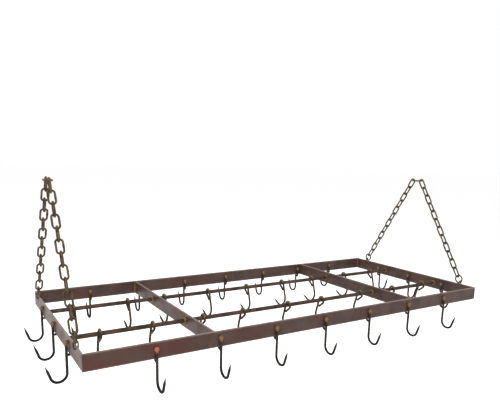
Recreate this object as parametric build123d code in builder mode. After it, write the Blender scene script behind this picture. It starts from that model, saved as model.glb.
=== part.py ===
from build123d import *

import os
from math import cos, radians, sin, sqrt

# A rectangular hanging rack for pots: a frame of flat bars on edge, two cross bars, two round rods,
# hooks all round the frame and along the rods, and a chain draped over a ceiling hook at each end.
# Millimetres. +X along the rack, +Y to its back, +Z up. The origin is half way between the two
# points where the ceiling hooks bear, at their height.

# Frame
FRAME_LENGTH = 1219.2
FRAME_WIDTH = 533.4
BAR_HEIGHT = 38.1
BAR_THICKNESS = 3.2
BAR_EDGE_BREAK = 0.5
CROSS_BAR_X = 319.0
ROD_RADIUS = 5.55
ROD_Y = 111.0
ROD_HOLE_GAP = 0.05
BRAZE_LEG = 4.5
BRAZE_TRIM = 1.5
BRAZE_HOLLOW = 0.36
ROD_BRAZE_RADIUS = 10.5
ROD_BRAZE_LENGTH = 5.0
ROD_BRAZE_LIP = 1.2
ROD_BRAZE_LIP_DROP = 0.2
ROD_BRAZE_WAIST = (2.6, 2.4)
ROD_BRAZE_EDGE = 0.4

# Chain, rings and the link that lies flat on each ceiling hook; lengths are between wire centres
LINK_WIRE_RADIUS = 2.4
LINK_LENGTH = 34.5
LINK_WIDTH = 15.5
LINKS_PER_LEG = 12
LINK_GAP = 0.3
RING_WIRE_RADIUS = 2.2
RING_RADIUS = 11.8
RING_Y = 206.0
RING_FLOAT = 0.3
EYELET_WIRE_RADIUS = 1.7
EYELET_WIDTH = 9.4
EYELET_GAP = 1.0
EYELET_HOLE_RADIUS = 2.9
EYELET_HOLE_DEPTH = 7.8
EYELET_DROP = 0.4

# Hooks
HOOK_WIRE_RADIUS = 3.175
TIP_RADIUS = 0.5
TIP_LENGTH = 16.0
HOOK_PITCH = 152.4
END_HOOK_PITCH = 144.0
HOOK_HOLE_RADIUS = 4.4
HOOK_HOLE_DEPTH = 16.0
FACE_GAP = 0.6
EYE_BEND = 4.8
EYE_TOP = -16.0
EYE_BOTTOM = -44.0
EYE_END_GAP = 0.4
BAR_HOOK_FOOT = -103.0
BAR_HOOK_TOE = 34.0
BAR_HOOK_TIP = 28.0
BAR_HOOK_FLARE = radians(19.5)
BAR_HOOK_BENDS = [18.4, 15.6]
ROD_EYE_GAP = 0.45
ROD_HOOK_TIP = 27.0
ROD_HOOK_RISE = radians(28)
ROD_EYE_END = (-9.2, -21.6)
ROD_EYE_LOW = -6.6
ROD_EYE_BACK = -7.2
ROD_EYE_END_BEND = 6.5
ROD_EYE_BEND_EASE = 0.2
ROD_HOOK_HEEL = (-26.6, -55.8)
ROD_HOOK_TOE = (2.0, -81.0)
ROD_HOOK_BENDS = [26.0, 26.0]
FRONT_ROD_HOOKS = (-532, -405, -271, -153, -6, 114, 266, 406, 546)
BACK_ROD_HOOKS = (-539, -394, -286, -145, -9, 127, 250, 397, 525)

# Worked out from the above
HALF_LENGTH = FRAME_LENGTH / 2
HALF_WIDTH = FRAME_WIDTH / 2
END_X = HALF_LENGTH - BAR_THICKNESS / 2
LINK_PITCH = LINK_LENGTH - 2 * LINK_WIRE_RADIUS - LINK_GAP
FIRST_LINK = RING_RADIUS - RING_WIRE_RADIUS - LINK_WIRE_RADIUS - LINK_GAP + LINK_LENGTH / 2
LAST_LINK = FIRST_LINK + (LINKS_PER_LEG - 1) * LINK_PITCH
LEG_LENGTH = LAST_LINK + LINK_LENGTH / 2 - 2 * LINK_WIRE_RADIUS - LINK_GAP
LEG_SPREAD = RING_Y - LINK_LENGTH / 2
LEG_RISE = sqrt(LEG_LENGTH**2 - LEG_SPREAD**2)
RING_Z = LINK_WIRE_RADIUS - LEG_RISE
EYELET_Y = RING_Y + RING_RADIUS * LEG_SPREAD / LEG_LENGTH
BAR_TOP = RING_Z - RING_RADIUS - RING_WIRE_RADIUS - RING_FLOAT
ROD_Z = BAR_TOP - BAR_HEIGHT / 2
OUTER_HOOK_X = [HOOK_PITCH * step for step in range(-3, 4)]
END_HOOK_Y = [END_HOOK_PITCH * step for step in (-1, 0, 1)]

AXIS_X = Vector(1, 0, 0)
AXIS_Y = Vector(0, 1, 0)
AXIS_Z = Vector(0, 0, 1)

os.makedirs("parts", exist_ok=True)


def save(builder, name):
    """Labels a finished piece and writes it."""
    builder.part.label = name
    export_step(builder.part, f"parts/{name}.step")


# ---------------------------------------------------------------- bars and rods


def make_long_bar(y_middle):
    """A long side bar on edge, with a hole for each hook."""
    with BuildPart() as bar:
        with BuildSketch(Plane.XZ.offset(-y_middle - BAR_THICKNESS / 2)):
            with Locations((0, BAR_TOP - BAR_HEIGHT / 2)):
                Rectangle(FRAME_LENGTH, BAR_HEIGHT)
            with Locations([(x, BAR_TOP - HOOK_HOLE_DEPTH) for x in OUTER_HOOK_X]):
                Circle(HOOK_HOLE_RADIUS, mode=Mode.SUBTRACT)
        extrude(amount=BAR_THICKNESS)
        long_edges = bar.edges().filter_by(Axis.X)
        fillet(long_edges, BAR_EDGE_BREAK)
    return bar


def make_end_bar(x_middle):
    """An end bar on edge, between the long bars, with holes for its hooks and for the ring eyelets."""
    with BuildPart() as bar:
        with BuildSketch(Plane.YZ.offset(x_middle - BAR_THICKNESS / 2)):
            with Locations((0, BAR_TOP - BAR_HEIGHT / 2)):
                Rectangle(FRAME_WIDTH - 2 * BAR_THICKNESS, BAR_HEIGHT)
            with Locations([(y, BAR_TOP - HOOK_HOLE_DEPTH) for y in END_HOOK_Y]):
                Circle(HOOK_HOLE_RADIUS, mode=Mode.SUBTRACT)
            with Locations([(y, BAR_TOP - EYELET_HOLE_DEPTH) for y in (-EYELET_Y, EYELET_Y)]):
                Circle(EYELET_HOLE_RADIUS, mode=Mode.SUBTRACT)
        extrude(amount=BAR_THICKNESS)
        fillet(bar.edges().filter_by(Axis.Y), BAR_EDGE_BREAK)
    return bar


def make_cross_bar(x_middle):
    """A cross bar on edge, flush with the frame, that the two rods pass through."""
    with BuildPart() as bar:
        with BuildSketch(Plane.YZ.offset(x_middle - BAR_THICKNESS / 2)):
            with Locations((0, BAR_TOP - BAR_HEIGHT / 2)):
                Rectangle(FRAME_WIDTH - 2 * BAR_THICKNESS, BAR_HEIGHT)
            with Locations((-ROD_Y, ROD_Z), (ROD_Y, ROD_Z)):
                Circle(ROD_RADIUS + ROD_HOLE_GAP, mode=Mode.SUBTRACT)
        extrude(amount=BAR_THICKNESS)
        fillet(bar.edges().filter_by(Axis.Y), BAR_EDGE_BREAK)
    return bar


def make_rod(y):
    """A round rod from one end bar to the other."""
    rod_length = FRAME_LENGTH - 2 * BAR_THICKNESS
    with BuildPart() as rod:
        with BuildSketch(Plane.YZ.offset(-rod_length / 2)):
            with Locations((y, ROD_Z)):
                Circle(ROD_RADIUS)
        extrude(amount=rod_length)
    return rod


save(make_long_bar(-HALF_WIDTH + BAR_THICKNESS / 2), "front_bar")
save(make_long_bar(HALF_WIDTH - BAR_THICKNESS / 2), "back_bar")
save(make_end_bar(-END_X), "left_end_bar")
save(make_end_bar(END_X), "right_end_bar")
save(make_cross_bar(-CROSS_BAR_X), "left_cross_bar")
save(make_cross_bar(CROSS_BAR_X), "right_cross_bar")
save(make_rod(-ROD_Y), "front_rod")
save(make_rod(ROD_Y), "back_rod")

# ---------------------------------------------------------------- brazing

# Each upright bead fills an inside corner: two flat legs and a hollow face.
inner_x = HALF_LENGTH - BAR_THICKNESS
inner_y = HALF_WIDTH - BAR_THICKNESS
cross_face = CROSS_BAR_X + BAR_THICKNESS / 2
with BuildPart() as frame_brazes:
    for side in (-1, 1):
        for depth in (-1, 1):
            for corner_x, turn in ((inner_x, -1), (cross_face, 1)):
                corner = (side * corner_x, depth * inner_y)
                along = (corner[0] + side * turn * BRAZE_LEG, corner[1])
                across = (corner[0], corner[1] - depth * BRAZE_LEG)
                hollow = (
                    corner[0] + side * turn * BRAZE_LEG * BRAZE_HOLLOW,
                    corner[1] - depth * BRAZE_LEG * BRAZE_HOLLOW,
                )
                with BuildSketch(Plane.XY.offset(BAR_TOP - BAR_HEIGHT + BRAZE_TRIM)):
                    with BuildLine():
                        Line(corner, along)
                        ThreePointArc(along, hollow, across)
                        Line(across, corner)
                    make_face()
                extrude(amount=BAR_HEIGHT - 2 * BRAZE_TRIM)
save(frame_brazes, "frame_brazes")

# A collar of braze sits round the rod wherever it meets a bar.
rod_joints = [(-inner_x, 1), (-cross_face, -1), (-cross_face + BAR_THICKNESS, 1)]
rod_joints += [(-x, -facing) for x, facing in rod_joints]
with BuildPart() as rod_brazes:
    for y in (-ROD_Y, ROD_Y):
        rod_axis = Axis((0, y, ROD_Z), (1, 0, 0))
        for x, facing in rod_joints:
            bore = ROD_RADIUS + ROD_HOLE_GAP
            lip = (ROD_BRAZE_LIP, ROD_BRAZE_RADIUS - ROD_BRAZE_LIP_DROP)
            waist = (ROD_BRAZE_WAIST[0], bore + ROD_BRAZE_WAIST[1])
            edge = (ROD_BRAZE_LENGTH, bore + ROD_BRAZE_EDGE)
            with BuildSketch(Plane(origin=(x, y, ROD_Z), x_dir=(facing, 0, 0), z_dir=(0, -facing, 0))):
                with BuildLine():
                    Polyline((0, bore), (0, ROD_BRAZE_RADIUS), lip)
                    ThreePointArc(lip, waist, edge)
                    Polyline(edge, (ROD_BRAZE_LENGTH, bore), (0, bore))
                make_face()
            revolve(axis=rod_axis)
save(rod_brazes, "rod_brazes")

# ---------------------------------------------------------------- chains


def make_oval(centre, along, across, length, width, wire_radius):
    """A closed oval of round wire; its length and width are between wire centres."""
    bend = width / 2
    straight = length / 2 - bend
    with BuildPart() as oval:
        with BuildLine(Plane(origin=centre, x_dir=along, z_dir=along.cross(across))) as route:
            Line((-straight, bend), (straight, bend))
            CenterArc((straight, 0), bend, 90, -180)
            Line((straight, -bend), (-straight, -bend))
            CenterArc((-straight, 0), bend, 270, -180)
        path = route.wires()[0]
        with BuildSketch(Plane(origin=path @ 0, z_dir=path % 0)):
            Circle(wire_radius)
        sweep(path=path)
    return oval.part


def gather(pieces):
    """One named piece made of several separate solids."""
    with BuildPart() as group:
        add(pieces)
    return group


def ring_centre(side, depth):
    """The middle of a ring; side is -1 left or 1 right, and depth is -1 front or 1 back."""
    return Vector(side * END_X, depth * RING_Y, RING_Z)


def leg_direction(depth):
    """The way a chain leg pulls, from its ring up to the hanging link."""
    return Vector(0, -depth * LEG_SPREAD / LEG_LENGTH, LEG_RISE / LEG_LENGTH)


def make_hanging_link(side):
    """The link that lies flat on a ceiling hook, with a leg on each of its rounded ends."""
    centre = Vector(side * END_X, 0, LINK_WIRE_RADIUS)
    return gather([make_oval(centre, AXIS_Y, AXIS_X, LINK_LENGTH, LINK_WIDTH, LINK_WIRE_RADIUS)])


def make_links(side, depth, numbers):
    """Some links of a leg, counted from its ring, each a quarter turn from the one before."""
    pull = leg_direction(depth)
    links = []
    for number in numbers:
        across = AXIS_X if number % 2 == 0 else pull.cross(AXIS_X)
        centre = ring_centre(side, depth) + pull * (FIRST_LINK + number * LINK_PITCH)
        links.append(make_oval(centre, pull, across, LINK_LENGTH, LINK_WIDTH, LINK_WIRE_RADIUS))
    return links


def make_ring(side, depth):
    """The round ring at the foot of a leg."""
    centre = ring_centre(side, depth)
    with BuildPart() as ring:
        with BuildSketch(Plane(origin=centre, x_dir=(0, 1, 0), z_dir=(0, 0, 1))):
            with Locations((RING_RADIUS, 0)):
                Circle(RING_WIRE_RADIUS)
        revolve(axis=Axis(centre, (1, 0, 0)))
    return ring.part


top_link = LINKS_PER_LEG - 1
for side, side_name in ((-1, "left"), (1, "right")):
    save(make_hanging_link(side), f"{side_name}_hanging_link")
    upper_links = make_links(side, -1, [top_link]) + make_links(side, 1, [top_link])
    save(gather(upper_links), f"{side_name}_upper_links")
    save(gather(make_links(side, -1, range(top_link))), f"{side_name}_front_chain")
    save(gather(make_links(side, 1, range(top_link))), f"{side_name}_back_chain")
    save(gather([make_ring(side, -1), make_ring(side, 1)]), f"{side_name}_rings")

# Each ring is held by a small oval of wire through the end bar and over its top edge.
ring_low = RING_Z - RING_RADIUS * LEG_RISE / LEG_LENGTH
ring_wire_height = RING_WIRE_RADIUS * LEG_LENGTH / LEG_RISE
eyelet_top = ring_low + ring_wire_height + EYELET_GAP + EYELET_WIRE_RADIUS
eyelet_bottom = BAR_TOP - EYELET_HOLE_DEPTH - EYELET_DROP
eyelets = []
for side in (-1, 1):
    for depth in (-1, 1):
        middle = Vector(side * END_X, depth * EYELET_Y, (eyelet_top + eyelet_bottom) / 2)
        height = eyelet_top - eyelet_bottom
        eyelets.append(make_oval(middle, AXIS_Z, AXIS_X, height, EYELET_WIDTH, EYELET_WIRE_RADIUS))
save(gather(eyelets), "ring_eyelets")

# ---------------------------------------------------------------- hooks


def make_hook(hook_plane, corners, bends):
    """Round wire bent round the corners, with a long point at its last end."""
    with BuildPart() as hook:
        with BuildLine(hook_plane) as route:
            FilletPolyline(*corners, radius=bends)
        path = route.wires()[0]
        with BuildSketch(Plane(origin=path @ 0, z_dir=path % 0)):
            Circle(HOOK_WIRE_RADIUS)
        sweep(path=path)
        point_plane = Plane(origin=path @ 1, z_dir=path % 1)
        with BuildSketch(point_plane):
            Circle(HOOK_WIRE_RADIUS)
        with BuildSketch(point_plane.offset(TIP_LENGTH)):
            Circle(TIP_RADIUS)
        loft()
    return hook


def make_bar_hook(hook_plane):
    """A hook whose end goes through the bar, down its inner face, under it and up to the shank.

    In the hook's plane x is out from the bar's outer face and y is up from its top edge.
    """
    outside = HOOK_WIRE_RADIUS + FACE_GAP
    inside = -BAR_THICKNESS - outside
    corners = [
        (outside - HOOK_WIRE_RADIUS - EYE_END_GAP, EYE_BOTTOM),
        (inside, EYE_BOTTOM),
        (inside, EYE_TOP),
        (outside, EYE_TOP),
        (outside, BAR_HOOK_FOOT),
        (BAR_HOOK_TOE, BAR_HOOK_FOOT),
        (
            BAR_HOOK_TOE + BAR_HOOK_TIP * sin(BAR_HOOK_FLARE),
            BAR_HOOK_FOOT + BAR_HOOK_TIP * cos(BAR_HOOK_FLARE),
        ),
    ]
    return make_hook(hook_plane, corners, [EYE_BEND] * 3 + BAR_HOOK_BENDS)


def make_rod_hook(hook_plane):
    """A hook with a closed eye round the rod, a shank that leans in and a long open point.

    In the hook's plane the origin is the rod's centre, x is out from the rack and y is up.
    """
    eye = ROD_RADIUS + HOOK_WIRE_RADIUS + ROD_EYE_GAP
    toe_x, toe_y = ROD_HOOK_TOE
    corners = [
        ROD_EYE_END,
        (eye, ROD_EYE_LOW),
        (eye, eye),
        (ROD_EYE_BACK, eye),
        ROD_HOOK_HEEL,
        ROD_HOOK_TOE,
        (toe_x + ROD_HOOK_TIP * cos(ROD_HOOK_RISE), toe_y + ROD_HOOK_TIP * sin(ROD_HOOK_RISE)),
    ]
    eye_bend = eye - ROD_EYE_BEND_EASE
    return make_hook(hook_plane, corners, [ROD_EYE_END_BEND, eye_bend, eye_bend] + ROD_HOOK_BENDS)


def outward_plane(origin, outward):
    """A plane with x along outward and y up."""
    return Plane(origin=origin, x_dir=outward, z_dir=outward.cross(AXIS_Z))


for number, x in enumerate(OUTER_HOOK_X, start=1):
    save(make_bar_hook(outward_plane((x, -HALF_WIDTH, BAR_TOP), -AXIS_Y)), f"front_hook_{number}")
    save(make_bar_hook(outward_plane((x, HALF_WIDTH, BAR_TOP), AXIS_Y)), f"back_hook_{number}")

for number, y in enumerate(END_HOOK_Y, start=1):
    save(make_bar_hook(outward_plane((-HALF_LENGTH, y, BAR_TOP), -AXIS_X)), f"left_hook_{number}")
    save(make_bar_hook(outward_plane((HALF_LENGTH, y, BAR_TOP), AXIS_X)), f"right_hook_{number}")

for number, x in enumerate(FRONT_ROD_HOOKS, start=1):
    save(make_rod_hook(outward_plane((x, -ROD_Y, ROD_Z), -AXIS_Y)), f"front_rod_hook_{number}")

for number, x in enumerate(BACK_ROD_HOOKS, start=1):
    save(make_rod_hook(outward_plane((x, ROD_Y, ROD_Z), AXIS_Y)), f"back_rod_hook_{number}")
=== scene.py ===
"""A hanging pot rack: flat bars, rods, brazing, wire hooks and chain, dressed in aged brown steel."""

import logging
import math
import random
from dataclasses import dataclass
from enum import Enum
from typing import Iterable, Sequence

import bpy
from mathutils import Matrix, Vector


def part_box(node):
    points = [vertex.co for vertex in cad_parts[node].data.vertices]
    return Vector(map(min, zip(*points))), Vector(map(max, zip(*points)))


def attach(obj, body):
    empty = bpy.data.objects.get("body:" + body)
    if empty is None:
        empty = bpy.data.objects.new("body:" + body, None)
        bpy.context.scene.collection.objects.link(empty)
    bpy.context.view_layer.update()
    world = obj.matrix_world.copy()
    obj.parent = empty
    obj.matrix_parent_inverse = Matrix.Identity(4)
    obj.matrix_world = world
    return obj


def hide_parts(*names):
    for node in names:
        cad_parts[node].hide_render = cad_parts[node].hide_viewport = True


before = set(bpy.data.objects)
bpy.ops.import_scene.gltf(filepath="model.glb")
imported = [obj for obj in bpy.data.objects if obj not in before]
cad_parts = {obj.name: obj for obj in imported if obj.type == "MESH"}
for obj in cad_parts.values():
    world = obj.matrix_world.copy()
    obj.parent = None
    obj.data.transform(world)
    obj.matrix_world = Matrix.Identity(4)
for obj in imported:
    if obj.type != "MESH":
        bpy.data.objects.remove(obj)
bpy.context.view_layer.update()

Colour = tuple[float, float, float]
Point = tuple[float, float, float]
Profile = tuple[tuple[float, float], ...]

MM = 0.001
SEED = 48

# How many hooks hang on each bar and on each rod, and which sides have a rod.
BAR_HOOKS = {"front": 7, "back": 7, "left": 3, "right": 3}
ROD_HOOKS = 9
LONG_SIDES = ("front", "back")

# How many points a link's straight side and its rounded end have, and a bend at least.
OVAL_RUN_POINTS = 8
OVAL_BEND_POINTS = 16
LEAST_BEND_POINTS = 4

# Where each part of the patina starts and is at its fullest, on noise that runs from 0 to 1.
CLOUD_SPAN = (0.30, 0.66)
RUB_SPAN = (0.60, 0.76)
SPECK_SPAN = (0.62, 0.78)
PATCH_SPAN = (0.40, 0.60)

# How many finer layers each noise has, and how strong they are.
CLOUD_DETAIL = 6.0
RUB_DETAIL = 7.0
SPECK_DETAIL = 3.0
PATCH_DETAIL = 3.0
RELIEF_DETAIL = 5.0
RAGGED_DETAIL = 5.0
NOISE_ROUGHNESS = 0.62

# How the rubbed places and the relief are scaled from the clouds and the specks.
RUB_SCALE = 2.7
RUB_STRETCH = (1.0, 1.3, 0.6)
RELIEF_SCALE = 0.45

# How strongly each colour shows where it is at its fullest.
SPECK_SHOW = 0.3
RED_SHOW = 0.75
EDGE_SHOW = 0.8
HEAD_SHOW = 0.85
TIP_SHOW = 0.8

# How the patina changes the roughness, and what the relief is made of.
ROUGH_LIFT = 0.08
CLOUD_POLISH = 0.12
SPECK_POLISH = 0.1
GRAIN_RELIEF = 0.6
CLOUD_RELIEF = 0.4
BUMP_STRENGTH = 0.7

AXIS_X = Vector((1, 0, 0))
AXIS_Y = Vector((0, 1, 0))
AXIS_Z = Vector((0, 0, 1))
log = logging.getLogger("pot_rack")


def srgb(red: float, green: float, blue: float) -> Colour:
    """Turns a paint chart's 0 to 255 colour into linear light.

    Args:
        red: The red part, 0 to 255.
        green: The green part, 0 to 255.
        blue: The blue part, 0 to 255.

    Returns:
        The same colour in linear light, 0 to 1.
    """
    parts = [part / 255 for part in (red, green, blue)]
    return tuple(p / 12.92 if p <= 0.04045 else ((p + 0.055) / 1.055) ** 2.4 for p in parts)


# ------------------------------------------------------------------ shader sums


class Shader:
    """A material under construction: it adds nodes and hands back their sockets."""

    def __init__(self, name: str) -> None:
        """Starts an empty material.

        Args:
            name: The material's name.
        """
        self.material = bpy.data.materials.new(name)
        self.material.use_nodes = True
        self.tree = self.material.node_tree
        self.tree.nodes.clear()

    def node(self, kind: str, settings: dict | None = None, output: str | int = 0, **inputs) -> "Value":
        """Adds one node.

        Args:
            kind: The node's type.
            settings: Its own settings, set before any socket.
            output: The socket handed back.
            **inputs: Socket values or links, by socket name with _ for a space, or as i0, i1.

        Returns:
            The chosen output socket.
        """
        node = self.tree.nodes.new(kind)
        for key, value in (settings or {}).items():
            setattr(node, key, value)
        for key, value in inputs.items():
            place = int(key[1:]) if key[0] == "i" and key[1:].isdigit() else key.replace("_", " ")
            socket = node.inputs[place]
            if isinstance(value, Value):
                self.tree.links.new(value.socket, socket)
            elif isinstance(value, tuple) and socket.type == "RGBA":
                socket.default_value = (*value, 1.0)
            else:
                socket.default_value = value
        return Value(self, node.outputs[output]) if node.outputs else None

    def mix(self, mask: "Value | float", low: "Value | Colour", high: "Value | Colour") -> "Value":
        """Blends two colours.

        Args:
            mask: 0 for the first colour, 1 for the second.
            low: The first colour.
            high: The second colour.

        Returns:
            The blended colour.
        """
        return self.node("ShaderNodeMix", {"data_type": "RGBA"}, 2, i0=mask, i6=low, i7=high)

    def place(self) -> "Value":
        """Where a point is on its piece, in metres."""
        return self.node("ShaderNodeTexCoord", output="Object")

    def noise(self, scale: float, detail: float = 4.0, stretch: Point = (1, 1, 1)) -> "Value":
        """Cloudy variation.

        Args:
            scale: Clouds per metre.
            detail: How many finer layers are added.
            stretch: How much each axis is squeezed first.

        Returns:
            The variation, near 0.5.
        """
        spread = self.node("ShaderNodeVectorMath", {"operation": "MULTIPLY"}, i0=self.place(), i1=stretch)
        return self.node(
            "ShaderNodeTexNoise", Vector=spread, Scale=scale, Detail=detail, Roughness=NOISE_ROUGHNESS
        )

    def height(self) -> "Value":
        """The height of a point on its piece, in metres."""
        return self.node("ShaderNodeSeparateXYZ", output="Z", Vector=self.place())

    def length(self) -> "Value":
        """The place of a point along the rack, in metres."""
        return self.node("ShaderNodeSeparateXYZ", output="X", Vector=self.place())

    def depth(self) -> "Value":
        """The place of a point from the rack's front to its back, in metres."""
        return self.node("ShaderNodeSeparateXYZ", output="Y", Vector=self.place())

    def ramp(self, value: "Value", low: float, high: float) -> "Value":
        """Spreads a span of values over 0 to 1 with soft ends.

        Args:
            value: The value to spread.
            low: What becomes 0.
            high: What becomes 1.

        Returns:
            The spread value.
        """
        settings = {"interpolation_type": "SMOOTHSTEP"}
        return self.node("ShaderNodeMapRange", settings, i0=value, i1=low, i2=high, i3=0.0, i4=1.0)

    def metal(
        self,
        colour: "Value",
        rough: "Value",
        metallic: "Value | float",
        relief: "Value",
        depth: float,
        gloss: float,
    ) -> None:
        """Finishes the material as metal.

        Args:
            colour: The base colour.
            rough: The roughness.
            metallic: How metallic the surface is.
            relief: The relief, 0 to 1.
            depth: How deep the relief is, in metres.
            gloss: How strongly its skin mirrors the room.
        """
        bump = self.node("ShaderNodeBump", Strength=BUMP_STRENGTH, Distance=depth, Height=relief)
        surface = self.node(
            "ShaderNodeBsdfPrincipled",
            Base_Color=colour,
            Roughness=rough,
            Metallic=metallic,
            Specular_IOR_Level=gloss,
            Normal=bump,
        )
        self.node("ShaderNodeOutputMaterial", Surface=surface)


class Value:
    """A shader socket that takes part in sums."""

    def __init__(self, shader: Shader, socket: bpy.types.NodeSocket) -> None:
        """Wraps a socket of a material."""
        self.shader = shader
        self.socket = socket

    def _sum(self, operation: str, first: "float | Value", second: "float | Value") -> "Value":
        """Adds one Math node."""
        return self.shader.node("ShaderNodeMath", {"operation": operation}, i0=first, i1=second)

    def __add__(self, other: "float | Value") -> "Value":
        """This plus the other."""
        return self._sum("ADD", self, other)

    def __radd__(self, other: "float | Value") -> "Value":
        """The other plus this."""
        return self._sum("ADD", other, self)

    def __sub__(self, other: "float | Value") -> "Value":
        """This less the other."""
        return self._sum("SUBTRACT", self, other)

    def __rsub__(self, other: "float | Value") -> "Value":
        """The other less this."""
        return self._sum("SUBTRACT", other, self)

    def __mul__(self, other: "float | Value") -> "Value":
        """This times the other."""
        return self._sum("MULTIPLY", self, other)

    def __rmul__(self, other: "float | Value") -> "Value":
        """The other times this."""
        return self._sum("MULTIPLY", other, self)

    def __truediv__(self, other: "float | Value") -> "Value":
        """This divided by the other."""
        return self._sum("DIVIDE", self, other)


# ------------------------------------------------------------------ finishes


class Finish(Enum):
    """The named finishes, with the record's material slots."""

    BAR = "bar_steel"
    ROD = "rod_steel"
    BRAZE = "braze"
    HOOK = "hook_steel"
    ROD_HOOK = "rod_hook_steel"
    CHAIN = "chain_steel"


@dataclass(frozen=True)
class AgedSteel:
    """Steel with a brown patina: a dark coat, warmer clouds, paler rubbed places and fine specks.

    Attributes:
        name: The material's name.
        dark: The colour in the hollows.
        body: The main colour.
        pale: The colour where it is rubbed; on the rod hooks its orange is also painted highlight.
        cloud: Clouds per metre.
        grain: Specks per metre.
        rough: The mean roughness.
        metallic: How metallic it is.
        relief: The depth of its skin, in metres.
        rubbed: How strongly the rubbed places show, 0 to 1.
        gloss: How strongly its skin mirrors the room.
    """

    name: str
    dark: Colour
    body: Colour
    pale: Colour
    cloud: float = 34.0
    grain: float = 900.0
    rough: float = 0.42
    metallic: float = 0.55
    relief: float = 0.0004
    rubbed: float = 0.4
    gloss: float = 0.25

    def coat(self, shader: Shader) -> tuple[Value, Value, Value]:
        """Makes the patina.

        Args:
            shader: The material under construction.

        Returns:
            Its colour, its roughness and its relief.
        """
        cloud = shader.ramp(shader.noise(self.cloud, CLOUD_DETAIL), *CLOUD_SPAN)
        rub = shader.ramp(shader.noise(self.cloud * RUB_SCALE, RUB_DETAIL, RUB_STRETCH), *RUB_SPAN)
        speck = shader.ramp(shader.noise(self.grain, SPECK_DETAIL), *SPECK_SPAN)
        colour = shader.mix(cloud, self.dark, self.body)
        colour = shader.mix(rub * self.rubbed, colour, self.pale)
        colour = shader.mix(speck * SPECK_SHOW, colour, self.pale)
        rough = cloud * -CLOUD_POLISH + (self.rough + ROUGH_LIFT) - speck * SPECK_POLISH
        skin = shader.noise(self.grain * RELIEF_SCALE, RELIEF_DETAIL)
        relief = skin * GRAIN_RELIEF + cloud * CLOUD_RELIEF
        return colour, rough, relief

    def make(self) -> bpy.types.Material:
        """Makes the material."""
        shader = Shader(self.name)
        colour, rough, relief = self.coat(shader)
        shader.metal(colour, rough, self.metallic, relief, self.relief, self.gloss)
        return shader.material


@dataclass(frozen=True)
class BarSteel(AgedSteel):
    """Flat bar: the patina, rubbed pale along both edges and redder towards the left end.

    Attributes:
        edge: The colour of the rubbed edges.
        red: The redder colour.
        top: The height of the bars' top edges, in metres.
        bottom: The height of their lower edges, in metres.
        red_from: Where along the rack the red starts, in metres.
        red_full: Where along the rack it is at its fullest, in metres.
        patches: Red patches per metre.
        ragged: How far the rubbed edges wander, in metres.
        ragged_scale: How often they wander, per metre.
        upper_rub: Where the upper edge's rub starts and is fullest, from the top, in metres.
        lower_rub: The same for the lower edge, from the bottom.
    """

    edge: Colour = (0.3, 0.25, 0.22)
    red: Colour = (0.1, 0.05, 0.04)
    top: float = 0.0
    bottom: float = 0.0
    red_from: float = 0.45
    red_full: float = -0.62
    patches: float = 9.0
    ragged: float = 0.006
    ragged_scale: float = 120.0
    upper_rub: tuple[float, float] = (-1.2 * MM, 2.8 * MM)
    lower_rub: tuple[float, float] = (6.8 * MM, 2.2 * MM)

    def make(self) -> bpy.types.Material:
        """Makes the material."""
        shader = Shader(self.name)
        colour, rough, relief = self.coat(shader)
        leftness = shader.ramp(shader.length(), self.red_from, self.red_full)
        patch = shader.ramp(shader.noise(self.patches, PATCH_DETAIL), *PATCH_SPAN)
        colour = shader.mix(leftness * patch * RED_SHOW, colour, self.red)
        height = shader.height() + shader.noise(self.ragged_scale, RAGGED_DETAIL) * self.ragged
        upper = shader.ramp(height, *(self.top + rub for rub in self.upper_rub))
        lower = shader.ramp(height, *(self.bottom + rub for rub in self.lower_rub))
        colour = shader.mix((upper + lower) * EDGE_SHOW, colour, self.edge)
        shader.metal(colour, rough, self.metallic, relief, self.relief, self.gloss)
        return shader.material


@dataclass(frozen=True)
class HeadedWire(AgedSteel):
    """Hook wire: the patina, bright at the head and near black towards the point.

    Attributes:
        copper_head: The colour of the one coppery head, near the rack's left end.
        head: The colour of the other heads.
        tip: The colour of the lower half.
        bright_above: Above this height the wire is bright, in metres.
        dark_below: Below this height it is at its darkest, in metres.
        bright_fade: The height over which the bright head fades in, in metres.
        dark_fade: The height over which the wire darkens, in metres.
        wander: How far the colours' limits wander up and down, in metres.
        wander_scale: How often they wander, per metre.
        copper_left: Where along the rack copper starts and is fullest, from the left, in metres.
        copper_right: The same from the right.
        copper_front: The same from the middle towards the front.
    """

    copper_head: Colour = (0.5, 0.2, 0.1)
    head: Colour = (0.3, 0.24, 0.14)
    tip: Colour = (0.01, 0.01, 0.01)
    bright_above: float = 0.0
    dark_below: float = 0.0
    bright_fade: float = 0.007
    dark_fade: float = 0.03
    wander: float = 0.012
    wander_scale: float = 160.0
    copper_left: tuple[float, float] = (-0.53, -0.50)
    copper_right: tuple[float, float] = (-0.39, -0.43)
    copper_front: tuple[float, float] = (-0.16, -0.22)

    def make(self) -> bpy.types.Material:
        """Makes the material."""
        shader = Shader(self.name)
        colour, rough, relief = self.coat(shader)
        along = shader.length()
        copper = shader.ramp(along, *self.copper_left) * shader.ramp(along, *self.copper_right)
        copper = copper * shader.ramp(shader.depth(), *self.copper_front)
        bright = shader.mix(copper, self.head, self.copper_head)
        height = shader.height() + shader.noise(self.wander_scale) * self.wander - self.wander / 2
        top = shader.ramp(height, self.bright_above - self.bright_fade, self.bright_above)
        low = shader.ramp(height, self.dark_below + self.dark_fade, self.dark_below)
        colour = shader.mix(top * HEAD_SHOW, colour, bright)
        colour = shader.mix(low * TIP_SHOW, colour, self.tip)
        shader.metal(colour, rough, self.metallic, relief, self.relief, self.gloss)
        return shader.material


# ------------------------------------------------------------------ meshes


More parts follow.
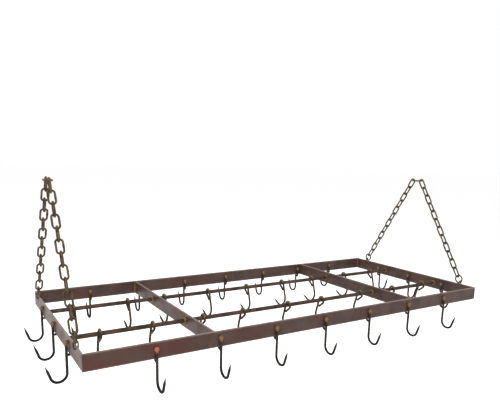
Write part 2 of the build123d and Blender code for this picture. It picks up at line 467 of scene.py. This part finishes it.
class Mesh:
    """Gathers points and faces and turns them into one piece."""

    def __init__(self) -> None:
        """Starts with nothing."""
        self.points: list[Vector] = []
        self.faces: list[tuple[int, ...]] = []

    def sweep(self, route: Sequence[Vector], radii: Sequence[float], sides: int, closed: bool) -> None:
        """Adds round wire along a route.

        Args:
            route: The wire's centre points in order.
            radii: The wire's radius at each point.
            sides: How many points go round the wire.
            closed: Whether the wire joins its own start.
        """
        count = len(route)
        start = len(self.points)
        side = None
        for number, point in enumerate(route):
            after = route[(number + 1) % count] if closed or number < count - 1 else point
            before = route[number - 1] if closed or number else point
            along = (after - before).normalized()
            if side is None:
                side = along.orthogonal().normalized()
            side = (side - along * side.dot(along)).normalized()
            other = along.cross(side)
            for step in range(sides):
                turn = math.tau * step / sides
                self.points.append(point + (side * math.cos(turn) + other * math.sin(turn)) * radii[number])
        spans = count if closed else count - 1
        shift = self._best_shift(start, count, sides) if closed else 0
        for number in range(spans):
            last = number == count - 1
            for step in range(sides):
                ahead = (step + 1) % sides
                here = start + number * sides
                there = start + ((number + 1) % count) * sides
                extra = shift if last else 0
                far_ahead = there + (ahead + extra) % sides
                far_step = there + (step + extra) % sides
                self.faces.append((here + step, here + ahead, far_ahead, far_step))
        if not closed:
            self.faces.append(tuple(start + step for step in reversed(range(sides))))
            self.faces.append(tuple(start + (count - 1) * sides + step for step in range(sides)))

    def _best_shift(self, start: int, count: int, sides: int) -> int:
        """How far the last ring of points has turned from the first, in steps."""
        last = self.points[start + (count - 1) * sides]
        return min(range(sides), key=lambda step: (self.points[start + step] - last).length)

    def build(self, name: str, material: bpy.types.Material) -> bpy.types.Object:
        """Makes the piece.

        Args:
            name: The piece's name.
            material: Its material.

        Returns:
            The new object, shaded smooth.
        """
        data = bpy.data.meshes.new(name)
        data.from_pydata([tuple(point) for point in self.points], [], self.faces)
        data.materials.append(material)
        data.shade_smooth()
        data.update()
        piece = bpy.data.objects.new(name, data)
        bpy.context.scene.collection.objects.link(piece)
        return piece


def bend_route(corners: Sequence[Vector], bends: Sequence[float], step: float) -> list[Vector]:
    """Rounds a line's corners.

    Args:
        corners: The line's corners, with its two ends.
        bends: The bend radius at each inner corner.
        step: The distance between the points made.

    Returns:
        Points along the rounded line.
    """
    route = [corners[0]]
    for number, radius in enumerate(bends, start=1):
        corner = corners[number]
        back = (corners[number - 1] - corner).normalized()
        ahead = (corners[number + 1] - corner).normalized()
        half = back.angle(ahead) / 2
        reach = radius / math.tan(half)
        centre = corner + (back + ahead).normalized() * (radius / math.sin(half))
        first = corner + back * reach - centre
        last = corner + ahead * reach - centre
        turn = first.angle(last)
        pieces = max(LEAST_BEND_POINTS, round(turn * radius / step))
        arc = []
        for place in range(pieces + 1):
            share = place / pieces
            low = math.sin((1 - share) * turn) / math.sin(turn)
            high = math.sin(share * turn) / math.sin(turn)
            arc.append(centre + first * low + last * high)
        route += straight(route[-1], arc[0], step) + arc
    return route + straight(route[-1], corners[-1], step) + [corners[-1]]


def straight(start: Vector, end: Vector, step: float) -> list[Vector]:
    """Points between two ends, without the ends themselves."""
    pieces = max(1, round((end - start).length / step))
    return [start.lerp(end, place / pieces) for place in range(1, pieces)]


def oval_route(centre: Vector, along: Vector, across: Vector, length: float, width: float) -> list[Vector]:
    """Points round an oval with straight sides.

    Args:
        centre: Its middle.
        along: The direction of its length.
        across: The direction of its width.
        length: Its length between wire centres.
        width: Its width between wire centres.

    Returns:
        The points, from the middle of one straight side.
    """
    bend = width / 2
    run = length / 2 - bend
    route = []
    for sign in (1, -1):
        for place in range(OVAL_RUN_POINTS):
            share = place / OVAL_RUN_POINTS * 2 - 1
            route.append(centre + along * (share * run * sign) + across * (bend * sign))
        for place in range(OVAL_BEND_POINTS):
            turn = math.pi * place / OVAL_BEND_POINTS
            reach = along * math.sin(turn) + across * math.cos(turn)
            route.append(centre + (along * run + reach * bend) * sign)
    return route


# ------------------------------------------------------------------ sub-assemblies


@dataclass
class Frame:
    """The frame's bars and rods and the rings' eyelets, as the design made them.

    Attributes:
        finishes: The material of each finish.
        bars: The nodes of the flat bars.
        rods: The nodes of the round rods.
        eyelets: The nodes the chains' rings go through.
    """

    finishes: dict[Finish, bpy.types.Material]
    bars: tuple[str, ...] = (
        "front_bar",
        "back_bar",
        "left_end_bar",
        "right_end_bar",
        "left_cross_bar",
        "right_cross_bar",
    )
    rods: tuple[str, ...] = ("front_rod", "back_rod")
    eyelets: tuple[str, ...] = ("ring_eyelets",)

    def dress(self) -> int:
        """Gives each bar, rod and eyelet its finish.

        Returns:
            How many nodes were dressed.
        """
        groups = {
            Finish.BAR: self.bars,
            Finish.ROD: self.rods,
            Finish.CHAIN: self.eyelets,
        }
        for finish, nodes in groups.items():
            for node in nodes:
                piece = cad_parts[node]
                for place in piece.material_slots:
                    place.material = self.finishes[finish]
        return sum(len(nodes) for nodes in groups.values())


@dataclass
class Brazing:
    """The lumpy brazing: collars round each rod at each bar, and a bead in each upright corner.

    Attributes:
        material: The braze's finish.
        draws: The seeded source of unevenness.
        collar_points: How many points go round a collar.
        bead_points: How many points go up a bead.
        sides: How many points go round the braze itself.
        end_margin: How far a bead stops short of the bars' edges.
        seat: How far outside the rod's skin a collar's middle lies.
        broad_collar: Its distance from the bar's face, its thickness and how much that varies.
        slim_collar: The same for the slim collar outside it.
        bead_thick: A bead's mean radius.
        bead_spread: How much that varies.
        bead_end: How thin a bead is at its ends, as a share.
        bead_taper: How quickly a bead thickens from its ends.
    """

    material: bpy.types.Material
    draws: random.Random
    collar_points: int = 40
    bead_points: int = 26
    sides: int = 14
    end_margin: float = 1.5 * MM
    seat: float = 0.5 * MM
    broad_collar: Point = (1.0 * MM, 2.5 * MM, 0.9 * MM)
    slim_collar: Point = (3.2 * MM, 1.5 * MM, 0.6 * MM)
    bead_thick: float = 2.5 * MM
    bead_spread: float = 0.9 * MM
    bead_end: float = 0.35
    bead_taper: float = 8

    def build(self) -> int:
        """Builds the collars and the beads.

        Returns:
            How many pieces were made.
        """
        self._finish(self._collars(), "rod_brazes")
        self._finish(self._beads(), "frame_brazes")
        return 2

    def _collars(self) -> Mesh:
        """Makes a broad and a slim ring of braze round the rods on each bar's face."""
        mesh = Mesh()
        faces = [(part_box("left_end_bar")[1][0], 1), (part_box("right_end_bar")[0][0], -1)]
        for side in ("left", "right"):
            low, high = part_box(f"{side}_cross_bar")
            faces += [(low[0], -1), (high[0], 1)]
        for rod in ("front_rod", "back_rod"):
            low, high = (Vector(corner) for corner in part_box(rod))
            radius = (high.z - low.z) / 2
            for face, way in faces:
                for out, thick, spread in (self.broad_collar, self.slim_collar):
                    middle = Vector((face + way * out, (low.y + high.y) / 2, (low.z + high.z) / 2))
                    self._ring(mesh, middle, radius + self.seat, thick, spread)
        return mesh

    def _ring(self, mesh: Mesh, middle: Vector, radius: float, thick: float, spread: float) -> None:
        """Adds one uneven ring of braze.

        Args:
            mesh: Where it goes.
            middle: Its middle, on the rod's line.
            radius: Its radius between the braze's centres.
            thick: The braze's mean radius.
            spread: How much that varies.
        """
        route = []
        for number in range(self.collar_points):
            turn = math.tau * number / self.collar_points
            route.append(middle + (AXIS_Y * math.cos(turn) + AXIS_Z * math.sin(turn)) * radius)
        mesh.sweep(route, self._uneven(self.collar_points, thick, spread), self.sides, True)

    def _beads(self) -> Mesh:
        """Makes the upright beads in the frame's corners and at the cross bars' ends."""
        mesh = Mesh()
        corners = [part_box("left_end_bar")[1][0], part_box("right_end_bar")[0][0]]
        corners += [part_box("left_cross_bar")[0][0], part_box("right_cross_bar")[1][0]]
        low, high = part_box("front_bar")
        bottom = low[2] + self.end_margin
        top = high[2] - self.end_margin
        for x in corners:
            for y in (high[1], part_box("back_bar")[0][1]):
                radii = self._uneven(self.bead_points, self.bead_thick, self.bead_spread)
                route = []
                for number in range(self.bead_points):
                    share = number / (self.bead_points - 1)
                    thickening = min(1.0, self.bead_taper * min(share, 1 - share))
                    radii[number] *= self.bead_end + (1 - self.bead_end) * thickening
                    route.append(Vector((x, y, bottom + (top - bottom) * share)))
                mesh.sweep(route, radii, self.sides, False)
        return mesh

    def _uneven(self, count: int, mean: float, spread: float) -> list[float]:
        """Radii that wander gently about a mean.

        Args:
            count: How many there are.
            mean: The mean radius.
            spread: How far one may be from it.

        Returns:
            The radii in order.
        """
        raw = [self.draws.uniform(-spread, spread) for _ in range(count)]
        return [mean + (raw[n - 1] + 2 * raw[n] + raw[(n + 1) % count]) / 4 for n in range(count)]

    def _finish(self, mesh: Mesh, node: str) -> None:
        """Turns a mesh into a piece that stands for a node."""
        piece = mesh.build(f"{node}_beads", self.material)
        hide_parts(node)
        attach(piece, "rack_frame")


@dataclass
class ChainPair:
    """The chains of one end: the flat hanging link, two legs and their rings.

    Attributes:
        side: Which end they hold, left or right.
        material: The chains' finish.
        draws: The seeded source of small marks.
        link_radius: The radius of a link's wire, in metres.
        link_length: A link's length between wire centres, in metres.
        link_width: A link's width between wire centres, in metres.
        link_gap: The play between one link and the next, in metres.
        links_per_leg: How many links a leg has.
        ring_radius: A ring's radius to the middle of its wire, in metres.
        ring_wire: The radius of a ring's wire, in metres.
        weld: How far a link's weld stands out, in metres.
        weld_width: How far the weld runs, in points along the link.
        link_marks: The deepest mark on a link, in millimetres.
        ring_marks: The deepest mark on a ring, in millimetres.
        ring_points: How many points go round a ring.
        sides: How many points go round the wire.
    """

    side: str
    material: bpy.types.Material
    draws: random.Random
    link_radius: float = 2.4 * MM
    link_length: float = 34.5 * MM
    link_width: float = 15.5 * MM
    link_gap: float = 0.3 * MM
    links_per_leg: int = 12
    ring_radius: float = 11.8 * MM
    ring_wire: float = 2.2 * MM
    weld: float = 0.35 * MM
    weld_width: float = 1.3
    link_marks: float = 0.06
    ring_marks: float = 0.05
    ring_points: int = 56
    sides: int = 16

    def build(self) -> int:
        """Builds every link and ring of this end.

        Returns:
            How many pieces were made.
        """
        seat_low, seat_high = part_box(f"{self.side}_hanging_link")
        rings_low, rings_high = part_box(f"{self.side}_rings")
        middle = (seat_low[0] + seat_high[0]) / 2
        seat_z = (seat_low[2] + seat_high[2]) / 2
        ring_y = rings_high[1] - self.ring_radius - self.ring_wire
        ring_z = (rings_low[2] + rings_high[2]) / 2
        hanging = Mesh()
        self._link(hanging, Vector((middle, 0, seat_z)), AXIS_Y, AXIS_X)
        upper = Mesh()
        rings = Mesh()
        for depth, name in ((-1, "front"), (1, "back")):
            ring = Vector((middle, depth * ring_y, ring_z))
            seat = Vector((middle, depth * self.link_length / 2, seat_z))
            pull = (seat - ring).normalized()
            level = pull.cross(AXIS_X).normalized()
            pitch = self.link_length - 2 * self.link_radius - self.link_gap
            ring_inside = self.ring_radius - self.ring_wire
            first = ring_inside - self.link_radius - self.link_gap + self.link_length / 2
            leg = Mesh()
            for number in range(self.links_per_leg):
                across = AXIS_X if number % 2 == 0 else level
                target = upper if number == self.links_per_leg - 1 else leg
                self._link(target, ring + pull * (first + number * pitch), pull, across)
            self._finish(leg, f"{name}_chain", f"{self.side}_chains")
            self._ring(rings, ring)
        self._finish(upper, "upper_links", "hangers")
        self._finish(hanging, "hanging_link", "hangers")
        self._finish(rings, "rings", f"{self.side}_chains")
        return 5

    def _link(self, mesh: Mesh, centre: Vector, along: Vector, across: Vector) -> None:
        """Adds one link with its weld on one straight side."""
        route = oval_route(centre, along, across, self.link_length, self.link_width)
        radii = []
        weld_at = OVAL_RUN_POINTS // 2
        for number in range(len(route)):
            lump = self.weld * math.exp(-(((number - weld_at) / self.weld_width) ** 2))
            radii.append(self.link_radius + lump - self.draws.uniform(0, self.link_marks) * MM)
        mesh.sweep(route, radii, self.sides, True)

    def _ring(self, mesh: Mesh, centre: Vector) -> None:
        """Adds one ring."""
        route = []
        radii = []
        for number in range(self.ring_points):
            turn = math.tau * number / self.ring_points
            route.append(centre + (AXIS_Y * math.cos(turn) + AXIS_Z * math.sin(turn)) * self.ring_radius)
            radii.append(self.ring_wire - self.draws.uniform(0, self.ring_marks) * MM)
        mesh.sweep(route, radii, self.sides, True)

    def _finish(self, mesh: Mesh, part: str, body: str) -> None:
        """Turns a mesh into a piece that stands for a node."""
        node = f"{self.side}_{part}"
        piece = mesh.build(f"{node}_wire", self.material)
        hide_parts(node)
        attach(piece, body)


@dataclass
class Hook:
    """One hook of round wire, bent to shape, with a long point.

    Attributes:
        node: The node it stands for and rides on.
        material: Its finish.
        draws: The seeded source of small marks.
        finish: The finish's slot; not used.
        wire: The wire's radius, in metres.
        tip: The radius at the very end of the point, in metres.
        tip_length: How long the point is, in metres.
        step: The distance between points along the wire, in metres.
        sides: How many points go round the wire.
        least_mark: The shallowest mark, in millimetres.
        deepest_mark: The deepest mark, in millimetres.
    """

    node: str
    material: bpy.types.Material
    draws: random.Random
    finish: Finish
    wire: float = 3.175 * MM
    tip: float = 0.5 * MM
    tip_length: float = 16.0 * MM
    step: float = 1.4 * MM
    sides: int = 18
    least_mark: float = 0.01
    deepest_mark: float = 0.09

    def shape(self, origin: Vector, outward: Vector) -> tuple[list[Vector], list[float]]:
        """The hook's corners and bends.

        Args:
            origin: Where the hook's own measures start.
            outward: The direction away from the rack.

        Returns:
            The corners and the bend radii.
        """
        raise NotImplementedError

    def place(self) -> tuple[Vector, Vector]:
        """Where the hook's measures start, and its outward direction."""
        raise NotImplementedError

    def add_bosses(self, mesh: Mesh) -> None:
        """Adds any lumps that stand on the bar; a plain hook has none.

        Args:
            mesh: Where they go.
        """

    def build(self) -> int:
        """Builds the hook.

        Returns:
            How many pieces were made.
        """
        corners, bends = self.shape(*self.place())
        lean = (corners[-1] - corners[-2]).normalized()
        corners[-1] = corners[-1] + lean * self.tip_length
        route = bend_route(corners, bends, self.step)
        distances = [0.0]
        for first, second in zip(route, route[1:]):
            distances.append(distances[-1] + (second - first).length)
        total = distances[-1]
        radii = []
        for distance in distances:
            left = total - distance
            taper = min(1.0, left / self.tip_length)
            radius = self.tip + (self.wire - self.tip) * taper
            marks = self.draws.uniform(-self.deepest_mark, -self.least_mark) * MM * taper
            radii.append(radius + marks)
        mesh = Mesh()
        mesh.sweep(route, radii, self.sides, False)
        self.add_bosses(mesh)
        piece = mesh.build(f"{self.node}_wire", self.material)
        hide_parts(self.node)
        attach(piece, self.node)
        return 1


@dataclass
class BarHook(Hook):
    """A hook that goes through a hole in a bar, down its inner face and under it to the shank.

    Lengths are in metres, and heights are from the bar's top edge.

    Attributes:
        outward: The direction away from the rack.
        bar: The bar it hangs on.
        bar_thickness: The bar's thickness.
        face_gap: The gap between the wire and the bar's faces.
        eye_top: The height of the wire in the hole.
        eye_bottom: The height of the wire under the bar.
        eye_bend: The radius of the eye's bends.
        end_gap: How far the wire's end stops short of the shank.
        foot: The height of the lowest wire.
        toe: How far out from the bar's face the foot reaches.
        tip_run: The length of the upturned end before its point.
        flare: How far the upturned end leans out.
        foot_bend: The radius of the bend below the shank.
        toe_bend: The radius of the bend below the upturned end.
        outer_boss: The lump of braze over the hole, as distances out and radii, in millimetres.
        inner_boss: The small lump inside, in the same way.
        boss_marks: How far a lump's radii vary, in millimetres.
    """

    outward: Point = (0, -1, 0)
    bar: str = "front_bar"
    bar_thickness: float = 3.2 * MM
    face_gap: float = 0.6 * MM
    eye_top: float = -16.0 * MM
    eye_bottom: float = -44.0 * MM
    eye_bend: float = 4.8 * MM
    end_gap: float = 0.4 * MM
    foot: float = -103.0 * MM
    toe: float = 34.0 * MM
    tip_run: float = 28.0 * MM
    flare: float = math.radians(19.5)
    foot_bend: float = 18.4 * MM
    toe_bend: float = 15.6 * MM
    outer_boss: Profile = (
        (0.15, 4.3), (0.7, 5.1), (2.4, 5.5), (4.6, 5.2), (6.2, 4.1), (7.2, 2.4), (7.6, 0.8),
    )
    inner_boss: Profile = (
        (0.15, 3.9), (0.6, 4.5), (2.2, 4.7), (4.4, 4.3), (6.0, 3.2), (6.9, 1.9), (7.2, 0.6),
    )
    boss_marks: float = 0.2

    def place(self) -> tuple[Vector, Vector]:
        """Where the hook's measures start, on the bar's outer face at its top edge."""
        outward = Vector(self.outward)
        low, high = (Vector(corner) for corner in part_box(self.bar))
        hook_low, hook_high = (Vector(corner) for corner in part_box(self.node))
        face = max(low.dot(outward), high.dot(outward))
        lengthwise = AXIS_X if abs(outward.y) > 0.5 else AXIS_Y
        at = (hook_low + hook_high).dot(lengthwise) / 2
        return lengthwise * at + outward * face + AXIS_Z * high.z, outward

    def shape(self, origin: Vector, outward: Vector) -> tuple[list[Vector], list[float]]:
        """The hook's corners and bends, as Hook.shape says."""
        outside = self.wire + self.face_gap
        inside = -self.bar_thickness - outside
        measures = [
            (outside - self.wire - self.end_gap, self.eye_bottom),
            (inside, self.eye_bottom),
            (inside, self.eye_top),
            (outside, self.eye_top),
            (outside, self.foot),
            (self.toe, self.foot),
            (
                self.toe + self.tip_run * math.sin(self.flare),
                self.foot + self.tip_run * math.cos(self.flare),
            ),
        ]
        corners = [origin + outward * out + AXIS_Z * up for out, up in measures]
        bends = [self.eye_bend] * 3 + [self.foot_bend, self.toe_bend]
        return corners, bends

    def add_bosses(self, mesh: Mesh) -> None:
        """Adds the lump of braze over the hole outside, and the small one inside."""
        origin, outward = self.place()
        middle = origin + AXIS_Z * self.eye_top
        sides = ((self.outer_boss, 0.0, 1), (self.inner_boss, -self.bar_thickness, -1))
        for profile, face, way in sides:
            route = [middle + outward * (face + way * out * MM) for out, _ in profile]
            radii = []
            for _, radius in profile:
                radii.append((radius + self.draws.uniform(-self.boss_marks, self.boss_marks)) * MM)
            mesh.sweep(route, radii, self.sides, False)


@dataclass
class RodHook(Hook):
    """A hook with a closed eye round a rod, a shank that leans in and a long open point.

    Lengths are in metres, and corners are out and up from the rod's middle.

    Attributes:
        outward: The direction away from the rack.
        rod: The rod it hangs on.
        eye: How far the eye's wire is from the rod's middle.
        tip_run: The length of the rising end before its point.
        rise: How steeply that end rises.
        eye_end: The wire's end, below the eye.
        eye_low: The height of the eye's lower corner.
        eye_back: How far out the eye's upper inner corner is.
        heel: The corner below the shank.
        toe: The lowest corner.
        end_bend: The radius of the bend at the eye's lower corner.
        eye_ease: How much tighter the eye's bends are than the eye.
        lower_bend: The radius of the two lower bends.
    """

    outward: Point = (0, -1, 0)
    rod: str = "front_rod"
    eye: float = 9.175 * MM
    tip_run: float = 27.0 * MM
    rise: float = math.radians(28)
    eye_end: tuple[float, float] = (-9.2 * MM, -21.6 * MM)
    eye_low: float = -6.6 * MM
    eye_back: float = -7.2 * MM
    heel: tuple[float, float] = (-26.6 * MM, -55.8 * MM)
    toe: tuple[float, float] = (2.0 * MM, -81.0 * MM)
    end_bend: float = 6.5 * MM
    eye_ease: float = 0.2 * MM
    lower_bend: float = 26.0 * MM

    def place(self) -> tuple[Vector, Vector]:
        """Where the hook's measures start, at the rod's middle."""
        low, high = (Vector(corner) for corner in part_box(self.rod))
        hook_low, hook_high = (Vector(corner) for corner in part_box(self.node))
        middle = (low + high) / 2
        middle.x = (hook_low.x + hook_high.x) / 2
        return middle, Vector(self.outward)

    def shape(self, origin: Vector, outward: Vector) -> tuple[list[Vector], list[float]]:
        """The hook's corners and bends, as Hook.shape says."""
        toe_out, toe_up = self.toe
        measures = [
            self.eye_end,
            (self.eye, self.eye_low),
            (self.eye, self.eye),
            (self.eye_back, self.eye),
            self.heel,
            self.toe,
            (toe_out + self.tip_run * math.cos(self.rise), toe_up + self.tip_run * math.sin(self.rise)),
        ]
        corners = [origin + outward * out + AXIS_Z * up for out, up in measures]
        eye_bend = self.eye - self.eye_ease
        bends = [self.end_bend, eye_bend, eye_bend, self.lower_bend, self.lower_bend]
        return corners, bends


# ------------------------------------------------------------------ studio


@dataclass
class Studio:
    """The floor, the lights and the camera.

    Attributes:
        bars_top: The height of the bars' top edges, in metres.
        floor_drop: How far the floor is below it, in metres.
        floor_reach: Half the floor's side, in metres.
        floor_clouds: Clouds of tone per metre of floor.
        floor_dull: The floor's duller tone; the other is white.
        floor_rough: The floor's roughness.
        lights: Each light's name, place, power in watts and side in metres.
        eye: The camera's place, from the bars' top, in metres.
        right: The direction to the camera's right.
        down: The direction below the camera.
        forward: The direction it looks in.
        lens: Its focal length, in millimetres.
        sensor: The width of its film, in millimetres.
        shift_y: How far its view is moved up, as a share of the film's width.
        sight: How far it sees, in metres.
    """

    bars_top: float
    floor_drop: float = 0.46
    floor_reach: float = 40.0
    floor_clouds: float = 0.8
    floor_dull: Colour = (0.985, 0.985, 0.985)
    floor_rough: float = 0.9
    lights: tuple[tuple[str, Point, float, float], ...] = (
        ("key_light", (-1.7, -1.6, 1.5), 62.0, 2.0),
        ("fill_light", (1.9, -1.5, 0.9), 22.0, 2.2),
        ("top_light", (0.2, 0.9, 2.0), 40.0, 2.4),
    )
    eye: Point = (-0.82707, -1.22472, 0.37794)
    right: Point = (0.85218631, -0.52255251, 0.02678355)
    down: Point = (-0.08124828, -0.18272087, -0.97980192)
    forward: Point = (0.51689187, 0.83279767, -0.19816872)
    lens: float = 36.7
    sensor: float = 36.0
    shift_y: float = 0.12
    sight: float = 200.0

    def build(self) -> None:
        """Sets up the floor, the lights, the surroundings and the camera."""
        self._floor()
        for light in self.lights:
            self._light(*light)
        self._surroundings()
        self._camera()

    def _floor(self) -> None:
        """Lays a wide pale floor under the rack."""
        height = self.bars_top - self.floor_drop
        data = bpy.data.meshes.new("floor")
        corners = ((-1, -1), (1, -1), (1, 1), (-1, 1))
        points = [(x * self.floor_reach, y * self.floor_reach, height) for x, y in corners]
        data.from_pydata(points, [], [(0, 1, 2, 3)])
        shader = Shader("floor_paint")
        tone = shader.mix(shader.noise(self.floor_clouds), self.floor_dull, (1.0, 1.0, 1.0))
        surface = shader.node("ShaderNodeBsdfPrincipled", Base_Color=tone, Roughness=self.floor_rough)
        shader.node("ShaderNodeOutputMaterial", Surface=surface)
        data.materials.append(shader.material)
        floor = bpy.data.objects.new("floor", data)
        bpy.context.scene.collection.objects.link(floor)

    def _light(self, name: str, place: Point, power: float, size: float) -> None:
        """Hangs one soft square light that faces the rack.

        Args:
            name: The light's name.
            place: Where it hangs, from the bars' top, in metres.
            power: Its power in watts.
            size: Its side in metres.
        """
        data = bpy.data.lights.new(name, "AREA")
        data.energy = power
        data.size = size
        light = bpy.data.objects.new(name, data)
        light.location = Vector(place) + AXIS_Z * self.bars_top
        target = AXIS_Z * self.bars_top
        light.rotation_euler = (target - light.location).to_track_quat("-Z", "Y").to_euler()
        bpy.context.scene.collection.objects.link(light)

    def _surroundings(self) -> None:
        """Makes the room around white."""
        world = bpy.data.worlds.new("white_room")
        world.use_nodes = True
        back = world.node_tree.nodes["Background"]
        back.inputs["Color"].default_value = (1.0, 1.0, 1.0, 1.0)
        back.inputs["Strength"].default_value = 1.0
        bpy.context.scene.world = world
        bpy.context.scene.view_settings.view_transform = "Standard"

    def _camera(self) -> None:
        """Sets the camera a little above the bars, in front of the left end."""
        data = bpy.data.cameras.new("camera")
        data.lens = self.lens
        data.sensor_width = self.sensor
        data.shift_y = self.shift_y
        data.clip_end = self.sight
        camera = bpy.data.objects.new("camera", data)
        up = [-part for part in self.down]
        back = [-part for part in self.forward]
        turn = Matrix((self.right, up, back)).transposed()
        camera.matrix_world = Matrix.Translation(Vector(self.eye) + AXIS_Z * self.bars_top) @ turn.to_4x4()
        bpy.context.scene.collection.objects.link(camera)
        bpy.context.scene.camera = camera


# ------------------------------------------------------------------ the rack


def make_finishes(top: float, bottom: float) -> dict[Finish, bpy.types.Material]:
    """Makes every finish.

    Args:
        top: The height of the bars' top edges.
        bottom: The height of the bars' lower edges.

    Returns:
        The material of each finish.
    """
    finishes = {
        Finish.BAR: BarSteel(
            "aged_bar",
            dark=srgb(50, 38, 34),
            body=srgb(64, 49, 44),
            pale=srgb(104, 88, 80),
            edge=srgb(110, 94, 86),
            red=srgb(66, 36, 30),
            top=top,
            bottom=bottom,
            cloud=22.0,
            rough=0.40,
            metallic=0.12,
            rubbed=0.15,
            gloss=0.16,
        ),
        Finish.ROD: AgedSteel(
            "aged_rod",
            dark=srgb(40, 30, 25),
            body=srgb(66, 52, 44),
            pale=srgb(120, 104, 90),
            rough=0.55,
            metallic=0.08,
            rubbed=0.25,
            gloss=0.06,
        ),
        Finish.BRAZE: AgedSteel(
            "rough_braze",
            dark=srgb(64, 46, 26),
            body=srgb(118, 90, 44),
            pale=srgb(164, 132, 76),
            cloud=190.0,
            rough=0.40,
            metallic=0.5,
            relief=0.0014,
        ),
        Finish.HOOK: HeadedWire(
            "headed_hook_wire",
            dark=srgb(28, 22, 21),
            body=srgb(50, 41, 38),
            pale=srgb(104, 84, 70),
            copper_head=srgb(146, 84, 60),
            head=srgb(104, 82, 52),
            tip=srgb(16, 13, 13),
            bright_above=top - 0.019,
            dark_below=top - 0.098,
            cloud=70.0,
            rough=0.55,
            metallic=0.08,
            rubbed=0.3,
            gloss=0.06,
        ),
        Finish.ROD_HOOK: HeadedWire(
            "olive_hook_wire",
            dark=srgb(30, 24, 18),
            body=srgb(60, 50, 36),
            pale=srgb(146, 100, 62),
            # The rod hooks' orange pale, on their rubbed places and specks, is painted highlight as well as
            # rubbing: it stands for the orange highlights on the wire.
            copper_head=srgb(96, 76, 50),
            head=srgb(92, 80, 56),
            tip=srgb(30, 25, 21),
            bright_above=top - 0.010,
            dark_below=top - 0.102,
            cloud=70.0,
            rough=0.55,
            metallic=0.08,
            gloss=0.06,
        ),
        Finish.CHAIN: AgedSteel(
            "olive_chain",
            dark=srgb(38, 28, 20),
            body=srgb(78, 66, 46),
            pale=srgb(138, 108, 78),
            cloud=80.0,
            rough=0.50,
            metallic=0.12,
            gloss=0.08,
        ),
    }
    return {finish: steel.make() for finish, steel in finishes.items()}


def make_hooks(finishes: dict[Finish, bpy.types.Material], draws: random.Random) -> Iterable[Hook]:
    """Lists every hook of the rack.

    Args:
        finishes: The material of each finish.
        draws: The seeded source of small marks.

    Yields:
        Each hook, not yet built.
    """
    ways = {"front": (0, -1, 0), "back": (0, 1, 0), "left": (-1, 0, 0), "right": (1, 0, 0)}
    for side, way in ways.items():
        bar = f"{side}_bar" if side in LONG_SIDES else f"{side}_end_bar"
        for number in range(1, BAR_HOOKS[side] + 1):
            yield BarHook(
                f"{side}_hook_{number}", finishes[Finish.HOOK], draws, Finish.HOOK, outward=way, bar=bar
            )
    for side in LONG_SIDES:
        for number in range(1, ROD_HOOKS + 1):
            yield RodHook(
                f"{side}_rod_hook_{number}",
                finishes[Finish.ROD_HOOK],
                draws,
                Finish.ROD_HOOK,
                outward=ways[side],
                rod=f"{side}_rod",
            )


def main() -> None:
    """Builds the rack and its studio, and reports each piece."""
    logging.basicConfig(level=logging.INFO, format="%(message)s")
    draws = random.Random(SEED)
    low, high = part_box("front_bar")
    finishes = make_finishes(high[2], low[2])
    log.info("frame: %d nodes dressed", Frame(finishes).dress())
    log.info("brazing: %d pieces", Brazing(finishes[Finish.BRAZE], draws).build())
    for side in ("left", "right"):
        log.info("%s chains: %d pieces", side, ChainPair(side, finishes[Finish.CHAIN], draws).build())
    for hook in make_hooks(finishes, draws):
        log.info("%s: %d piece", hook.node, hook.build())
    Studio(high[2]).build()


if __name__ == "__main__":
    main()
